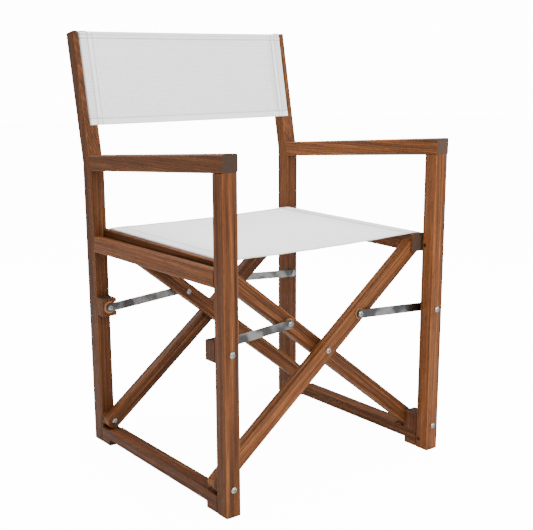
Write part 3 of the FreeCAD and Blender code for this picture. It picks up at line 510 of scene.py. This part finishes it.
# ---------------------------------------------------------------------------------------------
# Slings
# ---------------------------------------------------------------------------------------------
class Sling:
    """A stretched sheet between two grooves: where its points lie, for the cloth and its stitches."""

    def __init__(self, low, high, length, along, out, bow, hems, bands, doubled, seam_width):
        self.centre = (low + high) / 2
        self.half = (high.x - low.x) / 2
        self.length = length
        self.along = along
        self.out = out
        self.bow = bow
        self.hems = hems
        self.bands = bands
        self.doubled = doubled
        self.seam_width = seam_width
        self.tuck = bpy.context.scene.chair_cloth.tuck

    def hem_at(self, across, down):
        """How much of the doubled cloth is here, from 0 to 1."""
        amount = 0.0
        for place, strips in ((down, self.hems), (abs(across), self.bands)):
            for start, end in strips:
                inside = smooth(start - FADE, start + FADE, place)
                amount = max(amount, inside * smooth(end + FADE, end - FADE, place))
        return amount

    def seam_at(self, across, down):
        """How near a seam is, from 0 to 1: the shaded line where doubled cloth ends."""
        near = 1.0
        for place, strips in ((down, self.hems), (abs(across), self.bands)):
            for start, end in strips:
                near = min(near, abs(place - start), abs(place - end))
        return smooth(self.seam_width, 0.0003, near)

    def height(self, across, down):
        """Height of the cloth's middle above the plane through its CAD solid's middle."""
        x, v = across / self.half, down / (self.length / 2)
        sunk = self.bow * max(0.0, 1 - (x / 0.86) ** 2) * (1 - 0.25 * v * v)
        ripple = 0.00022 * math.sin(across * 74 + down * 21) * math.sin(down * 61 + 1.3)
        pull = 0.00030 * math.sin(down * 235) * smooth(0.80, 0.97, abs(x))
        seam = self.doubled * self.hem_at(across, down)
        return -0.0005 - sunk + (ripple + pull) * smooth(1.0, 0.93, abs(x)) + seam

    def point(self, across, down, lift=0.0):
        x = min(abs(across), self.half)
        fall = self.half - x
        tucked = 0.0
        if fall < 0.0032:
            tucked = self.tuck * (1 - fall / 0.0032) ** 3
        place = self.centre.copy()
        place.x += across
        place += self.along * down
        return place + self.out * (self.height(across, down) - tucked + lift)


def smooth(low, high, value):
    """0 before low, 1 after high, easing between; low may be the larger."""
    share = min(1.0, max(0.0, (value - low) / (high - low)))
    return share * share * (3 - 2 * share)


def stations(half, marks, coarse, fine):
    """Places from -half to half, closer together near the marks."""
    spots = {round(-half, 6), round(half, 6)}
    count = max(2, round(2 * half / coarse))
    for index in range(count + 1):
        spots.add(round(-half + 2 * half * index / count, 6))
    for mark in marks:
        for step in range(-3, 4):
            for side in (-1, 1):
                spot = side * (mark + step * fine)
                if abs(spot) <= half:
                    spots.add(round(spot, 6))
    ordered = sorted(spots)
    kept = [ordered[0]]
    for spot in ordered[1:]:
        if spot - kept[-1] > 0.00035:
            kept.append(spot)
    kept[-1] = ordered[-1]
    return kept


def make_cloth(name, sling, material):
    """The cloth itself: a fine grid with its own lengthwise and crosswise distances."""
    look = bpy.context.scene.chair_cloth
    edges = [spot for band in sling.bands for spot in band]
    edges += [sling.half - 0.0010, sling.half - 0.0030]
    columns = stations(sling.half, edges, 0.0065, 0.0006)
    rows = stations(sling.length / 2, [abs(spot) for strip in sling.hems for spot in strip], 0.0065, 0.0006)
    points, faces, hems, seams, cloth_places = [], [], [], [], []
    for down in rows:
        run, last = 0.0, None
        for across in columns:
            place = sling.point(across, down)
            if last is not None:
                run += (place - last).length
            last = place
            points.append(place)
            hems.append(sling.hem_at(across, down))
            seams.append(sling.seam_at(across, down))
            cloth_places.append((run, down + sling.length))
    wide = len(columns)
    for row in range(len(rows) - 1):
        for column in range(wide - 1):
            first = row * wide + column
            faces.append((first, first + 1, first + wide + 1, first + wide))
    mesh = bpy.data.meshes.new(name)
    mesh.from_pydata(points, [], faces)
    for label, values in (("hem", hems), ("seam", seams)):
        layer = mesh.attributes.new(label, "FLOAT", "POINT")
        layer.data.foreach_set("value", values)
    layer = mesh.uv_layers.new(name="cloth")
    for loop in mesh.loops:
        layer.data[loop.index].uv = cloth_places[loop.vertex_index]
    mesh.polygons.foreach_set("use_smooth", [True] * len(mesh.polygons))
    mesh.update()
    if mesh.polygons[len(mesh.polygons) // 2].normal.dot(sling.out) < 0:
        mesh.flip_normals()
    mesh.materials.append(material)
    piece = bpy.data.objects.new(name, mesh)
    bpy.context.scene.collection.objects.link(piece)
    wall = piece.modifiers.new("thickness", "SOLIDIFY")
    wall.thickness = look.thickness
    wall.offset = 0.0
    return piece


def stitch_tree(material):
    """Geometry nodes: small rounded stitches along every line of a wire mesh."""
    tree = bpy.data.node_groups.new("Stitches", "GeometryNodeTree")
    tree.interface.new_socket("Geometry", in_out="INPUT", socket_type="NodeSocketGeometry")
    for label, value in (("Pitch", 0.0034), ("Length", 0.0025), ("Thread", 0.00055)):
        socket = tree.interface.new_socket(label, in_out="INPUT", socket_type="NodeSocketFloat")
        socket.default_value = value
    tree.interface.new_socket("Geometry", in_out="OUTPUT", socket_type="NodeSocketGeometry")
    t = Tree(tree)
    given = t.node("NodeGroupInput").outputs
    line = t.node("GeometryNodeMeshToCurve")
    t.put(given["Geometry"], line.inputs["Mesh"])
    spaced = t.node("GeometryNodeResampleCurve", mode="LENGTH")
    t.put(line.outputs["Curve"], spaced.inputs["Curve"])
    t.put(given["Pitch"], spaced.inputs["Length"])
    bead = t.node("GeometryNodeMeshUVSphere")
    bead.inputs["Segments"].default_value = 6
    bead.inputs["Rings"].default_value = 4
    bead.inputs["Radius"].default_value = 0.5
    size = t.node("ShaderNodeCombineXYZ")
    t.put(given["Thread"], size.inputs["X"])
    t.put(given["Thread"], size.inputs["Y"])
    t.put(given["Length"], size.inputs["Z"])
    shaped = t.node("GeometryNodeTransform")
    t.put(bead.outputs["Mesh"], shaped.inputs["Geometry"])
    t.put(size.outputs["Vector"], shaped.inputs["Scale"])
    lay = t.node("FunctionNodeAlignRotationToVector", axis="Z")
    t.put(t.node("GeometryNodeInputTangent").outputs["Tangent"], lay.inputs["Vector"])
    sewn = t.node("GeometryNodeInstanceOnPoints")
    t.put(spaced.outputs["Curve"], sewn.inputs["Points"])
    t.put(shaped.outputs["Geometry"], sewn.inputs["Instance"])
    t.put(lay.outputs["Rotation"], sewn.inputs["Rotation"])
    solid = t.node("GeometryNodeRealizeInstances")
    t.put(sewn.outputs["Instances"], solid.inputs["Geometry"])
    finish = t.node("GeometryNodeSetMaterial")
    t.put(solid.outputs["Geometry"], finish.inputs["Geometry"])
    finish.inputs["Material"].default_value = material
    t.put(finish.outputs["Geometry"], t.node("NodeGroupOutput").inputs["Geometry"])
    return tree


def make_stitches(name, lines):
    """Sew stitches along lines of points and return them as one plain mesh."""
    look = bpy.context.scene.chair_cloth
    points, wires = [], []
    for line in lines:
        start = len(points)
        points += line
        wires += [(start + index, start + index + 1) for index in range(len(line) - 1)]
    wire = bpy.data.meshes.new(name + "_lines")
    wire.from_pydata(points, wires, [])
    holder = bpy.data.objects.new(name + "_lines", wire)
    bpy.context.scene.collection.objects.link(holder)
    sewing = holder.modifiers.new("stitches", "NODES")
    thread = bpy.data.materials.get("sewing_thread") or thread_material()
    sewing.node_group = bpy.data.node_groups.get("Stitches") or stitch_tree(thread)
    sockets = {item.name: item.identifier for item in sewing.node_group.interface.items_tree
               if item.in_out == "INPUT"}
    sewing[sockets["Pitch"]] = look.stitch_pitch
    sewing[sockets["Length"]] = look.stitch_length
    sewing[sockets["Thread"]] = look.thread
    graph = bpy.context.evaluated_depsgraph_get()
    mesh = bpy.data.meshes.new_from_object(holder.evaluated_get(graph), depsgraph=graph)
    mesh.name = name
    holder.modifiers.remove(sewing)
    bpy.data.objects.remove(holder)
    piece = bpy.data.objects.new(name, mesh)
    bpy.context.scene.collection.objects.link(piece)
    mesh.polygons.foreach_set("use_smooth", [True] * len(mesh.polygons))
    return piece


def sling_lines(sling, across_at, down_at):
    """Stitch lines on a sling: lines along it at each place in across_at, and across it in down_at."""
    look = bpy.context.scene.chair_cloth
    lift = look.thickness / 2 + look.thread * 0.18
    lines = []
    tall = sling.length / 2 - 0.003
    wide = sling.half - 0.006
    for across in across_at:
        count = 60
        lines.append([sling.point(across, -tall + 2 * tall * step / count, lift)
                      for step in range(count + 1)])
    for down in down_at:
        count = 90
        lines.append([sling.point(-wide + 2 * wide * step / count, down, lift)
                      for step in range(count + 1)])
    return lines


def seat_shape():
    look = bpy.context.scene.chair_cloth
    slope = look.seat_slope
    along = Vector((0, math.cos(slope), math.sin(slope)))
    length = (SEAT_HIGH.y - SEAT_LOW.y) / math.cos(slope)
    half = (SEAT_HIGH.x - SEAT_LOW.x) / 2
    return Sling(SEAT_LOW, SEAT_HIGH, length, along, Vector((0, -math.sin(slope), math.cos(slope))),
                 look.seat_sag, [(-length / 2, -length / 2 + SEAT_HEM), (length / 2 - SEAT_HEM, length / 2)],
                 [(half - SEAT_BAND, half)], 0.00045, 0.0030)


def back_shape():
    look = bpy.context.scene.chair_cloth
    lean = look.back_lean
    along = Vector((0, math.sin(lean), math.cos(lean)))
    length = (BACK_HIGH.z - BACK_LOW.z) / math.cos(lean) - 0.0003
    half = (BACK_HIGH.x - BACK_LOW.x) / 2
    return Sling(BACK_LOW, BACK_HIGH, length, along, Vector((0, -math.cos(lean), math.sin(lean))),
                 look.back_bow,
                 [(-length / 2, -length / 2 + look.hem), (length / 2 - look.hem, length / 2 - BACK_TOP_FOLD)],
                 [(half - BACK_BAND_INSET - look.band, half - BACK_BAND_INSET)], 0.00050, 0.0017)


# ---------------------------------------------------------------------------------------------
# Operators
# ---------------------------------------------------------------------------------------------
LENGTHWISE = (math.radians(90), 0, 0)
UPRIGHT = (0, 0, 0)
CROSSWISE = (0, math.radians(-90), 0)
BAR_RISE = math.atan2(NEAR_HIGH.z - NEAR_LOW.z, NEAR_HIGH.x - NEAR_LOW.x)
RISING = (0, BAR_RISE - math.radians(90), 0)
FALLING = (0, math.radians(90) - BAR_RISE, 0)


class CHAIR_OT_side_frames(bpy.types.Operator):
    """Finish the uprights, armrests and rails of the two side frames."""
    bl_idname = "chair.side_frames"
    bl_label = "Side frames"

    def execute(self, context):
        for side, seed in (("left", 0.31), ("right", 1.87)):
            tone = 0.0 if side == "left" else 0.22
            dress([f"front_leg_{side}"], wood_material(f"teak_leg_{side}", UPRIGHT, seed, 0.90 + 1.3 * tone))
            dress([f"rear_post_{side}"], wood_material(f"teak_post_{side}", UPRIGHT, seed + 3.1, 0.66 + tone))
            dress([f"armrest_{side}"], wood_material(f"teak_arm_{side}", LENGTHWISE, seed + 5.7, 0.70 + 2.1 * tone))
            dress([f"side_rail_{side}"], wood_material(f"teak_rail_{side}", LENGTHWISE, seed + 8.2, 1.10))
            dress([f"runner_{side}"], wood_material(f"teak_runner_{side}", LENGTHWISE, seed + 11.4, 0.80))
        return {"FINISHED"}


class CHAIR_OT_cross_bars(bpy.types.Operator):
    """Finish the crossed bars and the rails that hold the seat."""
    bl_idname = "chair.cross_bars"
    bl_label = "Cross bars"

    def execute(self, context):
        for end, seed, tone in (("front", 2.2, 1.05), ("rear", 6.4, 0.80)):
            dress([f"bar_{end}_near"], wood_material(f"teak_bar_{end}_near", RISING, seed, tone, figure=1.35))
            dress([f"bar_{end}_far"], wood_material(f"teak_bar_{end}_far", FALLING, seed + 1.9, 0.82 * tone,
                                                    figure=1.35))
        dress(["seat_rail_left"], wood_material("teak_seat_rail_left", LENGTHWISE, 9.3, 0.98))
        dress(["seat_rail_right"], wood_material("teak_seat_rail_right", LENGTHWISE, 12.6, 0.94))
        return {"FINISHED"}


class CHAIR_OT_small_wood(bpy.types.Operator):
    """Finish the wooden blocks, round spacers and pegs."""
    bl_idname = "chair.small_wood"
    bl_label = "Blocks, spacers and pegs"

    def execute(self, context):
        block = wood_material("teak_block", UPRIGHT, 14.2, 0.72)
        names = [f"link_block_{end}_left" for end in ("front", "rear")]
        names += [f"pivot_block_{end}_right" for end in ("front", "rear")]
        dress(names, block)
        dress(["pivot_spacers_left"], wood_material("teak_spacer", CROSSWISE, 15.8, 0.80))
        discs = [f"link_disc_{end}_{side}" for end in ("front", "rear") for side in ("left", "right")]
        dress(discs + ["centre_spacers", "link_bushes_left"], pale_wood_material("turned_spacer"))
        pegs = wood_material("dark_peg", CROSSWISE, 17.1, 0.8, pegs=True)
        dress(["tenon_pegs_left", "tenon_pegs_right"], pegs)
        return {"FINISHED"}


class CHAIR_OT_fittings(bpy.types.Operator):
    """Finish the flat steel links, bolts and washers."""
    bl_idname = "chair.fittings"
    bl_label = "Steel fittings"

    def execute(self, context):
        links = [f"link_{end}_{side}" for end in ("front", "rear") for side in ("left", "right")]
        dress(links, steel_material("polished_link", CROSSWISE, 0.50, 0.80))
        bolts = ["pivot_bolts_left", "pivot_bolts_right", "centre_bolts", "link_bolts_left",
                 "link_bolts_right", "link_washers_right", "link_studs_left", "link_studs_right"]
        bolts += [f"link_cap_{end}_{side}" for end in ("front", "rear") for side in ("left", "right")]
        dress(bolts, steel_material("polished_bolt", UPRIGHT, 0.90, 0.25))
        return {"FINISHED"}


class CHAIR_OT_seat_sling(bpy.types.Operator):
    """Make the seat sling with its hems and stitches, folding between the two seat rails."""
    bl_idname = "chair.seat_sling"
    bl_label = "Seat sling"

    def execute(self, context):
        look = context.scene.chair_cloth
        sling = seat_shape()
        cloth = make_cloth("seat_cloth", sling, cloth_material(
            "seat_canvas", look.seat_pitch, 1.03, (0.80, 0.81, 0.82), 0.0))
        inner = sling.half - SEAT_BAND
        edge = sling.length / 2 - SEAT_HEM
        lines = sling_lines(sling, [side * (inner + step) for side in (-1, 1) for step in (0.0020, 0.0060)],
                            [side * (edge + 0.0022) for side in (-1, 1)])
        stitches = make_stitches("seat_stitches", lines)
        for piece in (cloth, stitches):
            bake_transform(piece)
        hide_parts("seat_sling")
        return {"FINISHED"}


class CHAIR_OT_back_sling(bpy.types.Operator):
    """Make the mesh back with its hems, bands and stitches, gathering as the chair folds."""
    bl_idname = "chair.back_sling"
    bl_label = "Back sling"

    def execute(self, context):
        look = context.scene.chair_cloth
        sling = back_shape()
        cloth = make_cloth("back_cloth", sling, cloth_material(
            "back_mesh", look.back_pitch, 0.90, (0.36, 0.37, 0.39), 0.45))
        near, far = sling.bands[0]
        edge = sling.length / 2 - look.hem
        lines = sling_lines(sling, [side * spot for side in (-1, 1) for spot in (near + 0.0015, far - 0.0015)],
                            [side * (edge + 0.0020) for side in (-1, 1)])
        stitches = make_stitches("back_stitches", lines)
        for piece in (cloth, stitches):
            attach(piece, "left_frame")
            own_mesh(piece)
        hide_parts("back_sling")
        return {"FINISHED"}


class CHAIR_OT_stage(bpy.types.Operator):
    """Lay the pale floor, hang soft lights and set the camera."""
    bl_idname = "chair.stage"
    bl_label = "Stage"

    def floor(self, radius):
        points = [(0.0, 0.0, 0.0)]
        count = 96
        for index in range(count):
            angle = math.tau * index / count
            points.append((radius * math.cos(angle), radius * math.sin(angle), 0.0))
        faces = [(0, 1 + index, 1 + (index + 1) % count) for index in range(count)]
        mesh = bpy.data.meshes.new("studio_floor")
        mesh.from_pydata(points, [], faces)
        material, t, shader = new_material("studio_floor")
        source = t.node("ShaderNodeTexCoord")
        cloud = t.noise(source.outputs["Object"], 3.0, 2.0, 0.5)
        t.put(t.mix(cloud, (0.90, 0.90, 0.905), (0.93, 0.93, 0.93)), shader["Base Color"])
        t.put(t.math("MULTIPLY", t.node("ShaderNodeLightPath").outputs["Is Camera Ray"], 13.0),
              shader["Emission Strength"])
        shader["Emission Color"].default_value = (1.0, 1.0, 1.0, 1.0)
        shader["Roughness"].default_value = 0.85
        mesh.materials.append(material)
        floor = bpy.data.objects.new("studio_floor", mesh)
        bpy.context.scene.collection.objects.link(floor)

    def lamp(self, name, place, aim, size, power, colour):
        data = bpy.data.lights.new(name, "AREA")
        data.shape = "RECTANGLE"
        data.size, data.size_y = size
        data.energy = power
        data.color = colour
        lamp = bpy.data.objects.new(name, data)
        lamp.location = place
        lamp.rotation_euler = (Vector(aim) - Vector(place)).to_track_quat("-Z", "Y").to_euler()
        bpy.context.scene.collection.objects.link(lamp)

    def camera(self, look):
        ahead = Vector((math.sin(look.yaw) * math.cos(look.pitch), math.cos(look.yaw) * math.cos(look.pitch),
                        math.sin(look.pitch)))
        right = Vector((math.cos(look.yaw), -math.sin(look.yaw), 0))
        up = right.cross(ahead)
        turned_right = right * math.cos(look.roll) + up * math.sin(look.roll)
        turned_up = up * math.cos(look.roll) - right * math.sin(look.roll)
        data = bpy.data.cameras.new("studio_camera")
        data.sensor_width = 36.0
        data.lens = 63.93
        data.shift_x = 0.060
        data.shift_y = 0.0375
        camera = bpy.data.objects.new("studio_camera", data)
        axes = Matrix((turned_right, turned_up, -ahead)).transposed().to_4x4()
        camera.matrix_world = Matrix.Translation(Vector(look.eye)) @ axes
        bpy.context.scene.collection.objects.link(camera)
        bpy.context.scene.camera = camera

    def execute(self, context):
        look = context.scene.chair_stage
        self.floor(look.floor_radius)
        self.lamp("key_softbox", (-0.5, -3.1, 2.1), (0, 0, 0.45), (1.8, 1.8), 135, (1.0, 0.99, 0.97))
        self.lamp("side_softbox", (2.8, -1.2, 1.7), (0, 0, 0.45), (1.6, 2.0), 45, (0.98, 0.99, 1.0))
        self.lamp("left_softbox", (-3.0, -0.9, 1.4), (0, 0, 0.45), (1.6, 1.6), 12, (1.0, 1.0, 1.0))
        self.lamp("top_softbox", (0.2, 0.3, 3.2), (0, 0, 0.4), (2.4, 2.4), 155, (1.0, 1.0, 1.0))
        self.lamp("rear_softbox", (-0.6, 3.0, 2.0), (0, 0, 0.5), (2.0, 1.6), 40, (1.0, 1.0, 1.0))
        world = bpy.data.worlds.new("studio_air")
        world.use_nodes = True
        air = Tree(world.node_tree)
        back = world.node_tree.nodes["Background"]
        back.inputs["Color"].default_value = (1.0, 1.0, 1.0, 1.0)
        seen = air.node("ShaderNodeLightPath").outputs["Is Camera Ray"]
        air.put(air.math("ADD", 0.50, air.math("MULTIPLY", seen, 14.0)), back.inputs["Strength"])
        context.scene.world = world
        self.camera(look)
        return {"FINISHED"}


class CHAIR_PT_workshop(bpy.types.Panel):
    """The chair's steps, with the sizes and colours that each one uses."""
    bl_idname = "CHAIR_PT_workshop"
    bl_label = "Director chair"
    bl_space_type = "VIEW_3D"
    bl_region_type = "UI"
    bl_category = "Chair"

    def draw(self, context):
        for step in STEPS:
            self.layout.operator(step.bl_idname)
        for name in HOLDERS:
            box = self.layout.box()
            group = getattr(context.scene, name)
            for key in group.bl_rna.properties.keys():
                if key not in ("rna_type", "name"):
                    box.prop(group, key)


STEPS = (CHAIR_OT_stage, CHAIR_OT_side_frames, CHAIR_OT_cross_bars, CHAIR_OT_small_wood,
         CHAIR_OT_fittings, CHAIR_OT_seat_sling, CHAIR_OT_back_sling)
HOLDERS = {"chair_timber": ChairTimber, "chair_metal": ChairMetal, "chair_cloth": ChairCloth,
           "chair_stage": ChairStage}


def register():
    for made in (*HOLDERS.values(), *STEPS, CHAIR_PT_workshop):
        bpy.utils.register_class(made)
    for name, made in HOLDERS.items():
        setattr(bpy.types.Scene, name, PointerProperty(type=made))


def unregister():
    for name in HOLDERS:
        delattr(bpy.types.Scene, name)
    for made in (CHAIR_PT_workshop, *reversed(STEPS), *HOLDERS.values()):
        bpy.utils.unregister_class(made)


def main():
    """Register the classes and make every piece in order."""
    register()
    bpy.ops.chair.stage()
    bpy.ops.chair.side_frames()
    bpy.ops.chair.cross_bars()
    bpy.ops.chair.small_wood()
    bpy.ops.chair.fittings()
    bpy.ops.chair.seat_sling()
    bpy.ops.chair.back_sling()


if __name__ == "__main__":
    main()
